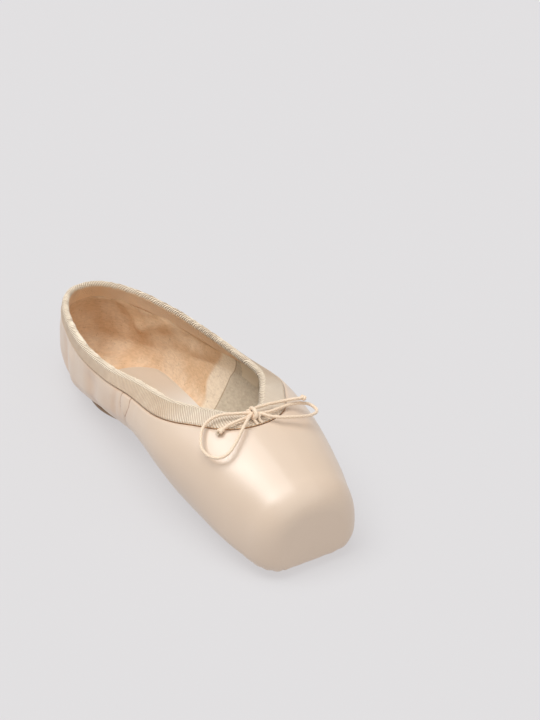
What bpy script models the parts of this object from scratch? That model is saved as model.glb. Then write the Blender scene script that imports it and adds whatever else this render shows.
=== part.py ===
"""Satin pointe shoe standing on its sole, for either foot.

Pieces: upper, outsole, insole, the binding round its collar, and a drawstring tied in a bow.
The toe points to -Y and the heel to +Y, X runs across, and Z = 0 is the floor. Sizes are in
metres. "Along" is the distance from the back of the heel towards the toe.
"""
import math

import bmesh
import bpy
from mathutils import Vector
from mathutils.bvhtree import BVHTree

# The last, round which the shoe is made
LENGTH = 0.232
BALL_WIDTH = 0.079
VAMP_HEIGHT = 0.0545
HEEL_ROUND = 0.0286
PLATFORM_EDGE = 0.0104
PLATFORM_LIFT = 0.006
ARCH_RISE = 0.004
HEEL_SEAT_END = 0.056
TREAD_LENGTH = 0.094
TREAD_START = LENGTH - TREAD_LENGTH

# The sole and the insole
SOLE_THICKNESS = 0.0026
SOLE_EDGE = 0.001
SOLE_BACK = 0.0095
SOLE_SETBACK = 0.020
SOLE_FRONT = LENGTH - SOLE_SETBACK
SOLE_TIP_ROUND = 0.016
INSOLE_THICKNESS = 0.0016
INSOLE_WIDTH = 0.042
INSOLE_CLIMB = 0.002
INSOLE_BACK = 0.040
INSOLE_SETBACK = 0.026
INSOLE_FRONT = LENGTH - INSOLE_SETBACK
INSOLE_ROUND = 0.018
INSOLE_END_SHARE = 0.15

# The upper
WALL = 0.0016
COLLAR_HEIGHT = 0.042
COLLAR_PULL = 0.005
PULL_FADE = 0.015
VAMP_LENGTH = 0.0545
THROAT = LENGTH - VAMP_LENGTH
TURNED_UNDER = 0.007
HEEL_LAP = 0.008
TOE_LAP = 0.012
UNDERSIDE_BACK = INSOLE_BACK + HEEL_LAP
UNDERSIDE_FRONT = SOLE_FRONT - TOE_LAP
UNDERSIDE_ROUND = 0.014
PLEAT_CLEARANCE = 0.0006
PLEAT_RUN = 0.010

# The collar binding and the drawstring
TAPE = 0.0007
BINDING_DEPTH = 0.004
THROAT_DEPTH = 0.0095
THROAT_BLEND = 0.096
BINDING_INSIDE = 0.007
BEAD_HEIGHT = 0.0026
CORD = 0.0015
KNOT_SIZE = (0.0060, 0.0052, 0.0050)
END_KNOT = 0.0032

# Curved pieces keep this gap where they meet
CLEARANCE = 0.0003

# Points nearer than this are one point
TINY = 1e-6

# Sections of the last. "along" is a share of LENGTH, half_width and tread (the half width
# of the flat bottom) are shares of half of BALL_WIDTH, widest and crown are shares of VAMP_HEIGHT,
# and the two curves are exponents: 2 is an ellipse, more is squarer, less is straighter.
LAST_COLUMNS = ("along", "half_width", "widest", "crown", "top_curve", "side_curve", "tread")
LAST = (
    (0.00, 0.359, 0.19, 2.10, 2.6, 2.00, 0.313),
    (0.12, 0.595, 0.23, 1.93, 2.5, 1.80, 0.385),
    (0.25, 0.800, 0.34, 1.69, 2.4, 1.26, 0.508),
    (0.40, 0.902, 0.45, 1.37, 2.3, 1.20, 0.415),
    (0.55, 0.945, 0.58, 1.11, 2.3, 1.18, 0.400),
    (0.68, 1.000, 0.57, 1.00, 2.4, 1.38, 0.513),
    (0.80, 0.923, 0.45, 0.97, 2.4, 1.63, 0.508),
    (0.90, 0.816, 0.28, 0.86, 2.4, 1.76, 0.454),
    (0.97, 0.693, 0.21, 0.745, 2.5, 1.85, 0.369),
    (1.00, 0.663, 0.20, 0.715, 2.5, 1.95, 0.354),
)

# The collar's edge from heel to throat. "along" is a share of THROAT, height of COLLAR_HEIGHT,
# and pull is how far the drawstring gathers the edge inwards, as a share of COLLAR_PULL.
COLLAR_COLUMNS = ("along", "height", "pull")
COLLAR = (
    (0.00, 0.950, 0.70),
    (0.16, 0.960, 0.30),
    (0.33, 0.970, 0.42),
    (0.52, 1.025, 0.66),
    (0.68, 1.140, 0.90),
    (0.85, 1.225, 0.25),
)

# The bow's cords, chosen by hand: metres across, along and up, from the knot outwards
KNOT_AT = (-0.0018, 0.1823, 0.0570)
LOOP_NEAR = (
    (-0.0048, 0.1808, 0.0572), (-0.0094, 0.1784, 0.0571), (-0.0142, 0.1757, 0.0567),
    (-0.0192, 0.1744, 0.0555), (-0.0238, 0.1755, 0.0536), (-0.0274, 0.1791, 0.0515),
    (-0.0300, 0.1840, 0.0492), (-0.0302, 0.1889, 0.0481), (-0.0288, 0.1924, 0.0479),
    (-0.0261, 0.1953, 0.0486), (-0.0222, 0.1958, 0.0504), (-0.0178, 0.1939, 0.0529),
    (-0.0129, 0.1906, 0.0553), (-0.0089, 0.1877, 0.0568), (-0.0051, 0.1846, 0.0573),
)
LOOP_FAR = (
    (0.0012, 0.1845, 0.0568), (0.0042, 0.1876, 0.0563), (0.0082, 0.1901, 0.0557),
    (0.0128, 0.1913, 0.0549), (0.0180, 0.1919, 0.0537), (0.0238, 0.1911, 0.0520),
    (0.0288, 0.1887, 0.0508), (0.0302, 0.1856, 0.0509), (0.0284, 0.1822, 0.0520),
    (0.0232, 0.1808, 0.0533), (0.0180, 0.1813, 0.0543), (0.0120, 0.1826, 0.0552),
    (0.0066, 0.1834, 0.0557), (0.0019, 0.1830, 0.0561),
)
END_NEAR = (
    (-0.0052, 0.1827, 0.0560), (-0.0084, 0.1828, 0.0560), (-0.0118, 0.1826, 0.0555),
    (-0.0150, 0.1824, 0.0548), (-0.0178, 0.1824, 0.0538),
)
END_FAR = (
    (0.0009, 0.1800, 0.0575), (0.0042, 0.1797, 0.0573), (0.0084, 0.1794, 0.0570),
    (0.0130, 0.1797, 0.0566), (0.0178, 0.1801, 0.0563), (0.0222, 0.1808, 0.0560),
    (0.0249, 0.1811, 0.0557),
)

# How finely the curved pieces are cut into facets
HEEL_STEPS = 9
QUARTER_STEPS = 8
SIDE_STEPS = 12
VAMP_STEPS = 6
BOX_STEPS = 4
EDGE_STEPS = 5
LOWER_ROWS = 6
UPPER_ROWS = 9
FLAT_STEPS = 12
TIP_STEPS = 6
INSOLE_STEPS = 3
INSOLE_SIDE_STEPS = 2
SKIN_STEPS = 3
BEAD_STEPS = 4
CORD_STEP = 0.0036
KNOT_FACETS = (10, 6)


def clear_scene():
    """Start from an empty file."""
    for obj in list(bpy.data.objects):
        bpy.data.objects.remove(obj, do_unlink=True)


def material(name, colour, roughness):
    """A plain material for one piece."""
    made = bpy.data.materials.new(name)
    made.use_nodes = True
    shader = made.node_tree.nodes["Principled BSDF"]
    shader.inputs["Base Color"].default_value = (*colour, 1.0)
    shader.inputs["Roughness"].default_value = roughness
    shader.inputs["Metallic"].default_value = 0.0
    return made


def add_object(name, mesh_or_curve, finish):
    """Put a mesh or a curve in the scene under its node's name."""
    obj = bpy.data.objects.new(name, mesh_or_curve)
    bpy.context.collection.objects.link(obj)
    obj.data.materials.append(finish)
    return obj


def smooth_step(share):
    """0 to 1 with level ends."""
    share = min(max(share, 0.0), 1.0)
    return share * share * (3.0 - 2.0 * share)


def end_round(along, back, front, length):
    """Share of the full width left where a flat piece's ends are rounded."""
    gap = min(along - back, front - along)
    if gap >= length:
        return 1.0
    return math.sqrt(max(0.0, 1.0 - (1.0 - gap / length) ** 2))


def read_table(rows, columns, name, along):
    """A smooth curve through one column of a table, at a share of the way along."""
    column = columns.index(name)
    places = [row[0] for row in rows]
    values = [row[column] for row in rows]
    along = min(max(along, places[0]), places[-1])
    last = len(rows) - 2
    spot = next((i for i in range(last + 1) if along <= places[i + 1]), last)
    runs = [places[i + 1] - places[i] for i in range(last + 1)]
    slopes = [(values[i + 1] - values[i]) / runs[i] for i in range(last + 1)]

    def tangent(i):
        if i == 0:
            return slopes[0]
        if i == last + 1:
            return slopes[last]
        return (slopes[i - 1] * runs[i] + slopes[i] * runs[i - 1]) / (runs[i - 1] + runs[i])

    run = runs[spot]
    t = (along - places[spot]) / run
    return (
        values[spot] * (1 + 2 * t) * (1 - t) ** 2
        + values[spot + 1] * t * t * (3 - 2 * t)
        + tangent(spot) * run * t * (1 - t) ** 2
        - tangent(spot + 1) * run * t * t * (1 - t)
    )


def last_size(name, along):
    """One size of the last at a distance along it, in metres, or an exponent."""
    value = read_table(LAST, LAST_COLUMNS, name, along / LENGTH)
    if name in ("half_width", "tread"):
        return value * BALL_WIDTH / 2
    if name in ("widest", "crown"):
        return value * VAMP_HEIGHT
    return value


def arch(along):
    """How far the bottom rises off the floor between heel seat and ball."""
    share = (along - HEEL_SEAT_END) / (TREAD_START - HEEL_SEAT_END)
    if not 0.0 < share < 1.0:
        return 0.0
    return ARCH_RISE * math.sin(math.pi * share) ** 2


def bottom(along):
    """Height of the upper's underside: on the sole, and nearer the floor ahead of its tip."""
    on_sole = SOLE_THICKNESS + CLEARANCE
    drop = smooth_step((along - SOLE_FRONT) / PLEAT_RUN)
    return arch(along) + on_sole + (PLEAT_CLEARANCE - on_sole) * drop


def collar_height(along):
    """Height of the collar's edge, which meets the crown of the last at the throat."""
    rows = [(share, height * COLLAR_HEIGHT) for share, height, _ in COLLAR]
    rows.append((1.0, last_size("crown", THROAT)))
    return read_table(rows, COLLAR_COLUMNS, "height", along / THROAT)


def collar_pull(along):
    """How far the collar's edge is gathered inwards, down to 0 at the throat."""
    rows = COLLAR + ((1.0, 0.0, 0.0),)
    return COLLAR_PULL * read_table(rows, COLLAR_COLUMNS, "pull", along / THROAT)


def plan_curve(share):
    """Half the heel seen from above, from its back to its side: across and along."""
    side = last_size("half_width", HEEL_ROUND)
    step = 0.001
    flare = (last_size("half_width", HEEL_ROUND + step) - side) / step
    handle = 0.55
    points = (
        Vector((0.0, 0.0)),
        Vector((side * handle, 0.0)),
        Vector((side - flare * HEEL_ROUND * handle, HEEL_ROUND * (1.0 - handle))),
        Vector((side, HEEL_ROUND)),
    )
    weights = (
        (1 - share) ** 3, 3 * share * (1 - share) ** 2, 3 * share ** 2 * (1 - share), share ** 3,
    )
    return sum((p * w for p, w in zip(points, weights)), Vector((0.0, 0.0)))


def stations():
    """Where the sections stand: centre along, direction across and along, reach, inset."""
    places = []
    for i in range(HEEL_STEPS):
        point = plan_curve(i / HEEL_STEPS)
        arm = point - Vector((0.0, HEEL_ROUND))
        places.append((HEEL_ROUND, arm.normalized(), arm.length, 0.0))
    across = Vector((1.0, 0.0))
    edge = LENGTH - PLATFORM_EDGE
    waist = (HEEL_SEAT_END + TREAD_START) / 2
    runs = (
        (HEEL_ROUND, waist, QUARTER_STEPS, 1.0),
        (waist, THROAT, SIDE_STEPS, 2.0),
        (THROAT, UNDERSIDE_FRONT, VAMP_STEPS, 2.0),
        (UNDERSIDE_FRONT, edge, BOX_STEPS, 1.0),
    )
    for start, stop, steps, crowding in runs:
        for i in range(steps):
            along = start + (stop - start) * (1.0 - (1.0 - i / steps) ** crowding)
            places.append((along, across, last_size("half_width", along), 0.0))
    for i in range(EDGE_STEPS + 1):
        turn = math.pi / 2 * i / EDGE_STEPS
        along = edge + PLATFORM_EDGE * math.sin(turn)
        inset = PLATFORM_EDGE * (1.0 - math.cos(turn))
        places.append((along, across, last_size("half_width", along) - inset, inset))
    return places


def underside_opening(along, tread):
    """Half width of the opening that the sole closes, down to 0 at its ends."""
    if not UNDERSIDE_BACK < along < UNDERSIDE_FRONT:
        return 0.0
    width = max(tread - TURNED_UNDER, 0.0)
    return width * end_round(along, UNDERSIDE_BACK, UNDERSIDE_FRONT, UNDERSIDE_ROUND)


def half_section(centre, direction, reach, inset):
    """Points of one half section, from the edge underneath up to the collar or the crown."""
    heel = direction.y < 0.0
    widest = last_size("widest", centre)
    crown = last_size("crown", centre) - inset
    tread = last_size("tread", centre)
    if heel:
        tread *= reach / last_size("half_width", centre)
    tread = min(tread, reach)
    low = bottom(centre) + PLATFORM_LIFT * inset / PLATFORM_EDGE
    side_power = 2.0 / last_size("side_curve", centre)
    top_power = 2.0 / last_size("top_curve", centre)

    edge_along = centre + direction.y * reach
    open_top = heel or centre < THROAT - TINY
    top = min(collar_height(edge_along), crown) if open_top else crown
    pull = collar_pull(edge_along) if open_top else 0.0

    points = [(underside_opening(centre, tread), low), (tread, low)]
    for i in range(1, LOWER_ROWS + 1):
        turn = math.pi / 2 * i / LOWER_ROWS
        out = tread + (reach - tread) * math.sin(turn) ** side_power
        up = widest - (widest - low) * math.cos(turn) ** side_power
        points.append((out, up))

    height = (top - widest) / (crown - widest)
    full_turn = math.asin(min(height, 1.0) ** (1.0 / top_power))
    for i in range(1, UPPER_ROWS + 1):
        turn = full_turn * i / UPPER_ROWS
        out = reach * max(math.cos(turn), 0.0) ** top_power
        up = widest + (crown - widest) * math.sin(turn) ** top_power
        share = (up - widest) / (top - widest)
        out -= pull * share * share * min(out / PULL_FADE, 1.0)
        points.append((max(out, 0.0), up))
    if not open_top:
        points[-1] = (0.0, points[-1][1])
    return [
        Vector((direction.x * out, LENGTH / 2 - (centre + direction.y * out), up))
        for out, up in points
    ]


def skin():
    """The outside of the upper as one open surface, facing out."""
    shape = bmesh.new()
    rows = [half_section(*place) for place in stations()]
    for side in (1.0, -1.0):
        grid = [
            [shape.verts.new((side * p.x, p.y, p.z)) for p in row]
            for row in rows
        ]
        for i in range(len(grid) - 1):
            for k in range(len(grid[0]) - 1):
                corners = [grid[i][k], grid[i][k + 1], grid[i + 1][k + 1], grid[i + 1][k]]
                shape.faces.new(corners if side > 0 else corners[::-1])
    bmesh.ops.remove_doubles(shape, verts=shape.verts[:], dist=TINY)
    front = -LENGTH / 2
    rim = [e for e in shape.edges if all(abs(v.co.y - front) < TINY for v in e.verts)]
    bmesh.ops.contextual_create(shape, geom=rim)
    bmesh.ops.recalc_face_normals(shape, faces=shape.faces[:])
    outermost = max(shape.faces, key=lambda face: face.calc_center_median().x)
    if outermost.normal.x < 0:
        bmesh.ops.reverse_faces(shape, faces=shape.faces[:])
    shape.normal_update()
    return shape


def thicken(obj, thickness):
    """Give an open surface its wall, inwards from where it lies."""
    wall = obj.modifiers.new("wall", "SOLIDIFY")
    wall.thickness = thickness
    wall.offset = -1.0
    wall.use_even_offset = True
    wall.use_quality_normals = True
    wall.use_rim = True


def shade(mesh):
    """Smooth, with real edges kept sharp."""
    mesh.shade_smooth()
    mesh.set_sharp_from_angle(angle=math.radians(40))


def add_upper(finish):
    """Vamp, box and quarters as one wall, open at the collar and underneath."""
    shape = skin()
    mesh = bpy.data.meshes.new("upper")
    shape.to_mesh(mesh)
    shape.free()
    shade(mesh)
    thicken(add_object("upper", mesh, finish), WALL)


def flat_stations(back, front, length):
    """Stations of a flat piece, close together where its ends are rounded."""
    ends = [length * (1.0 - math.cos(math.pi / 2 * i / TIP_STEPS)) for i in range(TIP_STEPS + 1)]
    middle = front - back - 2 * length
    inner = [back + length + middle * i / FLAT_STEPS for i in range(1, FLAT_STEPS)]
    return [back + e for e in ends] + inner + [front - e for e in reversed(ends)]


def add_outsole(finish):
    """Leather sole: flat at heel and ball, arched between them, round at both ends."""
    shape = bmesh.new()
    rings = []
    for along in flat_stations(SOLE_BACK, SOLE_FRONT, SOLE_TIP_ROUND):
        share = end_round(along, SOLE_BACK, SOLE_FRONT, SOLE_TIP_ROUND)
        half = (last_size("tread", along) + SOLE_EDGE) * share
        low = arch(along)
        y = LENGTH / 2 - along
        sides = (half, -half) if half > TINY else (0.0,)
        under = [shape.verts.new((x, y, low)) for x in sides]
        over = [shape.verts.new((x, y, low + SOLE_THICKNESS)) for x in sides]
        rings.append((under, over))
    for (under, over), (next_under, next_over) in zip(rings, rings[1:]):
        for a, b in ((under, next_under), (over, next_over)):
            shape.faces.new(list(dict.fromkeys([a[0], a[-1], b[-1], b[0]])))
        for side in (0, -1):
            shape.faces.new([under[side], over[side], next_over[side], next_under[side]])
    bmesh.ops.recalc_face_normals(shape, faces=shape.faces[:])
    mesh = bpy.data.meshes.new("outsole")
    shape.to_mesh(mesh)
    shape.free()
    shade(mesh)
    add_object("outsole", mesh, finish)


def insole_row(along, share):
    """Half of the insole at one station, on the upper's outside: flat, then up the side."""
    tread = last_size("tread", along)
    reach = last_size("half_width", along)
    widest = last_size("widest", along)
    low = bottom(along)
    side_power = 2.0 / last_size("side_curve", along)
    limit = min(INSOLE_WIDTH / 2 + WALL, tread + INSOLE_CLIMB) * share
    if limit <= tread:
        steps = INSOLE_STEPS + INSOLE_SIDE_STEPS
        points = [(limit * i / steps, low) for i in range(steps + 1)]
    else:
        points = [(tread * i / INSOLE_STEPS, low) for i in range(INSOLE_STEPS + 1)]
        full_turn = math.asin(((limit - tread) / (reach - tread)) ** (1.0 / side_power))
        for i in range(1, INSOLE_SIDE_STEPS + 1):
            turn = full_turn * i / INSOLE_SIDE_STEPS
            points.append((
                tread + (reach - tread) * math.sin(turn) ** side_power,
                widest - (widest - low) * math.cos(turn) ** side_power,
            ))
    return [Vector((out, LENGTH / 2 - along, up)) for out, up in points]


def add_insole(finish):
    """Inner sock on the turned-under satin, lifted a little at its sides."""
    shape = bmesh.new()
    rows = []
    for along in flat_stations(INSOLE_BACK, INSOLE_FRONT, INSOLE_ROUND):
        share = end_round(along, INSOLE_BACK, INSOLE_FRONT, INSOLE_ROUND)
        share = max(share, INSOLE_END_SHARE)
        half = insole_row(along, share)
        full = [Vector((-p.x, p.y, p.z)) for p in reversed(half[1:])] + half
        rows.append([shape.verts.new(p) for p in full])
    for row, next_row in zip(rows, rows[1:]):
        for k in range(len(row) - 1):
            shape.faces.new([row[k], row[k + 1], next_row[k + 1], next_row[k]])
    shape.normal_update()
    shape.faces.ensure_lookup_table()
    if shape.faces[0].normal.z > 0:
        bmesh.ops.reverse_faces(shape, faces=shape.faces[:])
        shape.normal_update()
    for vert in shape.verts:
        vert.co -= vert.normal * (WALL + CLEARANCE)
    mesh = bpy.data.meshes.new("insole")
    shape.to_mesh(mesh)
    shape.free()
    shade(mesh)
    thicken(add_object("insole", mesh, finish), INSOLE_THICKNESS)


def collar_loop():
    """The collar's edge on the upper's outside, once round from the throat over one side."""
    half = []
    for place in stations():
        centre, direction = place[0], place[1]
        if direction.y < 0.0 or centre < THROAT - TINY:
            half.append(half_section(*place)[-1])
    throat = Vector((0.0, LENGTH / 2 - THROAT, last_size("crown", THROAT)))
    right = half[1:]
    left = [Vector((-p.x, p.y, p.z)) for p in reversed(right)]
    return [throat] + left + [half[0]] + right


def down_the_skin(tree, start, heading, distance):
    """A point on the upper's outside, a distance from another, and the way out there."""
    spot, normal, _, _ = tree.find_nearest(start)
    for _ in range(SKIN_STEPS):
        heading = (heading - normal * heading.dot(normal)).normalized()
        spot, normal, _, _ = tree.find_nearest(spot + heading * distance / SKIN_STEPS)
    return spot, normal


def binding_profile(tree, edge, heading):
    """One section of the binding: outside leg, bead over the edge, inside leg, and back."""
    outer, inner = TAPE + CLEARANCE, -(WALL + CLEARANCE + TAPE)
    along = LENGTH / 2 - edge.y
    near_throat = smooth_step(1.0 - (THROAT - along) / THROAT_BLEND)
    depth = BINDING_DEPTH + (THROAT_DEPTH - BINDING_DEPTH) * near_throat
    outside = [down_the_skin(tree, edge, heading, depth * share) for share in (1.0, 0.66, 0.33)]
    inside = [down_the_skin(tree, edge, heading, BINDING_INSIDE * share) for share in (0.5, 1.0)]
    _, normal, _, _ = tree.find_nearest(edge + heading * CLEARANCE)
    middle = edge - normal * (WALL / 2) - heading * CLEARANCE
    radius = WALL / 2 + CLEARANCE + TAPE
    bead = []
    for i in range(BEAD_STEPS + 1):
        turn = math.pi * i / BEAD_STEPS
        over = normal * radius * math.cos(turn) - heading * BEAD_HEIGHT * math.sin(turn)
        bead.append(middle + over)
    points = [p + n * outer for p, n in outside] + bead + [p + n * inner for p, n in inside]
    points += [p + n * (inner + TAPE) for p, n in reversed(inside)]
    points.append(edge - normal * (WALL + CLEARANCE) - heading * CLEARANCE)
    points.append(edge + normal * CLEARANCE - heading * CLEARANCE)
    points += [p + n * CLEARANCE for p, n in reversed(outside)]
    return points


def add_binding(finish):
    """Tape folded over the collar's edge, with the drawstring's bead along its top."""
    surface = skin()
    tree = BVHTree.FromBMesh(surface)
    surface.free()
    loop = collar_loop()
    count = len(loop)
    shape = bmesh.new()
    rings = []
    for i, edge in enumerate(loop):
        tangent = (loop[(i + 1) % count] - loop[i - 1]).normalized()
        _, normal, _, _ = tree.find_nearest(edge)
        heading = normal.cross(tangent).normalized()
        rings.append([shape.verts.new(p) for p in binding_profile(tree, edge, heading)])
    size = len(rings[0])
    for i in range(count):
        ring, following = rings[i], rings[(i + 1) % count]
        for k in range(size):
            n = (k + 1) % size
            shape.faces.new([ring[k], ring[n], following[n], following[k]])
    bmesh.ops.recalc_face_normals(shape, faces=shape.faces[:])
    mesh = bpy.data.meshes.new("collar_binding")
    shape.to_mesh(mesh)
    shape.free()
    shade(mesh)
    add_object("collar_binding", mesh, finish)


def smooth_path(route, step):
    """Points about a step apart on a smooth curve through the route's own points."""
    points = [Vector((x, LENGTH / 2 - along, z)) for x, along, z in route]
    path = [points[0]]
    for i in range(len(points) - 1):
        before = points[max(i - 1, 0)]
        after = points[min(i + 2, len(points) - 1)]
        start, stop = points[i], points[i + 1]
        pieces = max(1, round((stop - start).length / step))
        for j in range(1, pieces + 1):
            t = j / pieces
            path.append(
                0.5 * (2 * start + (stop - before) * t
                       + (2 * before - 5 * start + 4 * stop - after) * t * t
                       + (3 * start - before - 3 * stop + after) * t ** 3)
            )
    return path


def add_cord(name, route, finish):
    """A plain tube along a stretch of the drawstring."""
    path = smooth_path(route, CORD_STEP)
    curve = bpy.data.curves.new(name, "CURVE")
    curve.dimensions = "3D"
    curve.bevel_depth = CORD / 2
    curve.bevel_resolution = 2
    curve.use_fill_caps = True
    line = curve.splines.new("POLY")
    line.points.add(len(path) - 1)
    for point, place in zip(line.points, path):
        point.co = (*place, 1.0)
    add_object(name, curve, finish)


def add_lump(name, centre, size, finish):
    """A knot as one round lump."""
    shape = bmesh.new()
    around, upwards = KNOT_FACETS
    bmesh.ops.create_uvsphere(shape, u_segments=around, v_segments=upwards, radius=0.5)
    for vert in shape.verts:
        vert.co = Vector((
            centre[0] + vert.co.x * size[0],
            LENGTH / 2 - centre[1] + vert.co.y * size[1],
            centre[2] + vert.co.z * size[2],
        ))
    mesh = bpy.data.meshes.new(name)
    shape.to_mesh(mesh)
    shape.free()
    mesh.shade_smooth()
    add_object(name, mesh, finish)


def add_bow(finish):
    """The drawstring where it shows: a knot, two loops and two ends with a knot on each."""
    add_lump("drawstring_knot", KNOT_AT, KNOT_SIZE, finish)
    add_cord("drawstring_loop_near", LOOP_NEAR, finish)
    add_cord("drawstring_loop_far", LOOP_FAR, finish)
    for side, route in (("near", END_NEAR), ("far", END_FAR)):
        add_cord(f"drawstring_end_{side}", route, finish)
        tip, before = Vector(route[-1]), Vector(route[-2])
        centre = tip + (tip - before).normalized() * (END_KNOT / 2 + CLEARANCE)
        add_lump(f"end_knot_{side}", centre, (END_KNOT,) * 3, finish)


clear_scene()
add_upper(material("satin", (0.80, 0.62, 0.47), 0.38))
add_outsole(material("sole leather", (0.16, 0.08, 0.04), 0.60))
add_insole(material("insole cloth", (0.74, 0.60, 0.45), 0.85))
add_binding(material("binding tape", (0.80, 0.66, 0.48), 0.75))
add_bow(material("drawstring cord", (0.66, 0.44, 0.29), 0.65))
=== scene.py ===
"""Satin pointe shoe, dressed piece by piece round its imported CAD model.

The toe points to -Y, the heel to +Y, and Z = 0 is the floor. Sizes are in metres. "Along" is
the distance from the back of the heel towards the toe, as in the part's own source.
"""
import math

import bmesh
import bpy
from mathutils import Matrix, Vector, noise
from mathutils.bvhtree import BVHTree
from mathutils.kdtree import KDTree


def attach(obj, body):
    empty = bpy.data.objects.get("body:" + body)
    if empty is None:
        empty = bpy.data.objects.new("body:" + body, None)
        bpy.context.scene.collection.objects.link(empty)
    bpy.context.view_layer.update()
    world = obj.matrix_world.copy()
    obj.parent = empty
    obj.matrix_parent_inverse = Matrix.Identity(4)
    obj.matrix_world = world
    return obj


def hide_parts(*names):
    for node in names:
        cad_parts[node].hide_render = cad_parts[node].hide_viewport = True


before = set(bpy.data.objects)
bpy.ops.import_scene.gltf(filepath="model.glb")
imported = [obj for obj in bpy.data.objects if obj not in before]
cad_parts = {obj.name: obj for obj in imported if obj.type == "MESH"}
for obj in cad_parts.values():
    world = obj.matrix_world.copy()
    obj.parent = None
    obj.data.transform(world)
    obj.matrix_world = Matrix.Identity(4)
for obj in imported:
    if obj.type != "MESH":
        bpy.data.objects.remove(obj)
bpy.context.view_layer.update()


# The satin upper: one pleated cover drawn over the last, turned under at the sole.
# It is smooth over the hard box, gathered softly under the tape, and slack along the quarters.
# It is made as sections of the last, lifted by folds, then given the thickness of the cloth.
LENGTH = 0.232
BALL_WIDTH = 0.079
VAMP_HEIGHT = 0.0545
HEEL_ROUND = 0.0286
PLATFORM_EDGE = 0.0104
PLATFORM_LIFT = 0.006
PLATFORM_CROWN = 0.0006
ARCH_RISE = 0.004
HEEL_SEAT_END = 0.056
TREAD_START = LENGTH - 0.094
SOLE_THICKNESS = 0.0026
SOLE_FRONT = LENGTH - 0.020
INSOLE_BACK = 0.040
WALL = 0.0016
COLLAR_HEIGHT = 0.042
COLLAR_PULL = 0.005
PULL_FADE = 0.015
THROAT = LENGTH - 0.0545
TURNED_UNDER = 0.007
UNDERSIDE_BACK = INSOLE_BACK + 0.008
UNDERSIDE_FRONT = SOLE_FRONT - 0.012
UNDERSIDE_ROUND = 0.014
PLEAT_CLEARANCE = 0.0006
PLEAT_RUN = 0.010
CLEARANCE = 0.0003
TINY = 1e-6
LAST_COLUMNS = ("along", "half_width", "widest", "crown", "top_curve", "side_curve", "tread")
LAST = (
    (0.00, 0.359, 0.19, 2.10, 2.6, 2.00, 0.313),
    (0.12, 0.595, 0.23, 1.93, 2.5, 1.80, 0.385),
    (0.25, 0.800, 0.34, 1.69, 2.4, 1.26, 0.508),
    (0.40, 0.902, 0.45, 1.37, 2.3, 1.20, 0.415),
    (0.55, 0.945, 0.58, 1.11, 2.3, 1.18, 0.400),
    (0.68, 1.000, 0.57, 1.00, 2.4, 1.38, 0.513),
    (0.80, 0.923, 0.45, 0.97, 2.4, 1.63, 0.508),
    (0.90, 0.816, 0.28, 0.86, 2.4, 1.76, 0.454),
    (0.97, 0.693, 0.21, 0.745, 2.5, 1.85, 0.369),
    (1.00, 0.663, 0.20, 0.715, 2.5, 1.95, 0.354),
)
COLLAR_COLUMNS = ("along", "height", "pull")
COLLAR = (
    (0.00, 0.950, 0.70),
    (0.16, 0.960, 0.30),
    (0.33, 0.970, 0.42),
    (0.52, 1.025, 0.66),
    (0.68, 1.140, 0.90),
    (0.85, 1.225, 0.25),
)
BINDING_DEPTH = 0.004
THROAT_DEPTH = 0.0095
THROAT_BLEND = 0.096
HEEL_STEPS = 40
QUARTER_STEPS = 80
SIDE_STEPS = 104
SIDE_CROWDING = 1.5
VAMP_STEPS = 34
BOX_STEPS = 40
EDGE_STEPS = 18
UNDER_ROWS = 4
LOWER_ROWS = 24
UPPER_ROWS = 44
SOFTENING = 14


def smooth_step(share):
    """0 to 1 with level ends."""
    share = min(max(share, 0.0), 1.0)
    return share * share * (3.0 - 2.0 * share)


def end_round(along, back, front, length):
    """Share of the full width left where a flat piece's ends are rounded."""
    gap = min(along - back, front - along)
    if gap >= length:
        return 1.0
    return math.sqrt(max(0.0, 1.0 - (1.0 - gap / length) ** 2))


def read_table(rows, columns, name, along):
    """A smooth curve through one column of a table, at a share of the way along."""
    column = columns.index(name)
    places = [row[0] for row in rows]
    values = [row[column] for row in rows]
    along = min(max(along, places[0]), places[-1])
    last = len(rows) - 2
    spot = next((i for i in range(last + 1) if along <= places[i + 1]), last)
    runs = [places[i + 1] - places[i] for i in range(last + 1)]
    slopes = [(values[i + 1] - values[i]) / runs[i] for i in range(last + 1)]

    def tangent(i):
        if i == 0:
            return slopes[0]
        if i == last + 1:
            return slopes[last]
        return (slopes[i - 1] * runs[i] + slopes[i] * runs[i - 1]) / (runs[i - 1] + runs[i])

    run = runs[spot]
    t = (along - places[spot]) / run
    return (
        values[spot] * (1 + 2 * t) * (1 - t) ** 2
        + values[spot + 1] * t * t * (3 - 2 * t)
        + tangent(spot) * run * t * (1 - t) ** 2
        - tangent(spot + 1) * run * t * t * (1 - t)
    )


def last_size(name, along):
    """One size of the last at a distance along it, in metres, or an exponent."""
    value = read_table(LAST, LAST_COLUMNS, name, along / LENGTH)
    if name in ("half_width", "tread"):
        return value * BALL_WIDTH / 2
    if name in ("widest", "crown"):
        return value * VAMP_HEIGHT
    return value


def arch(along):
    """How far the bottom rises off the floor between heel seat and ball."""
    share = (along - HEEL_SEAT_END) / (TREAD_START - HEEL_SEAT_END)
    if not 0.0 < share < 1.0:
        return 0.0
    return ARCH_RISE * math.sin(math.pi * share) ** 2


def bottom(along):
    """Height of the upper's underside: on the sole, and nearer the floor ahead of its tip."""
    on_sole = SOLE_THICKNESS + CLEARANCE
    drop = smooth_step((along - SOLE_FRONT) / PLEAT_RUN)
    return arch(along) + on_sole + (PLEAT_CLEARANCE - on_sole) * drop


def collar_height(along):
    """Height of the collar's edge, which meets the crown of the last at the throat."""
    rows = [(share, height * COLLAR_HEIGHT) for share, height, _ in COLLAR]
    rows.append((1.0, last_size("crown", THROAT)))
    return read_table(rows, COLLAR_COLUMNS, "height", along / THROAT)


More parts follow.
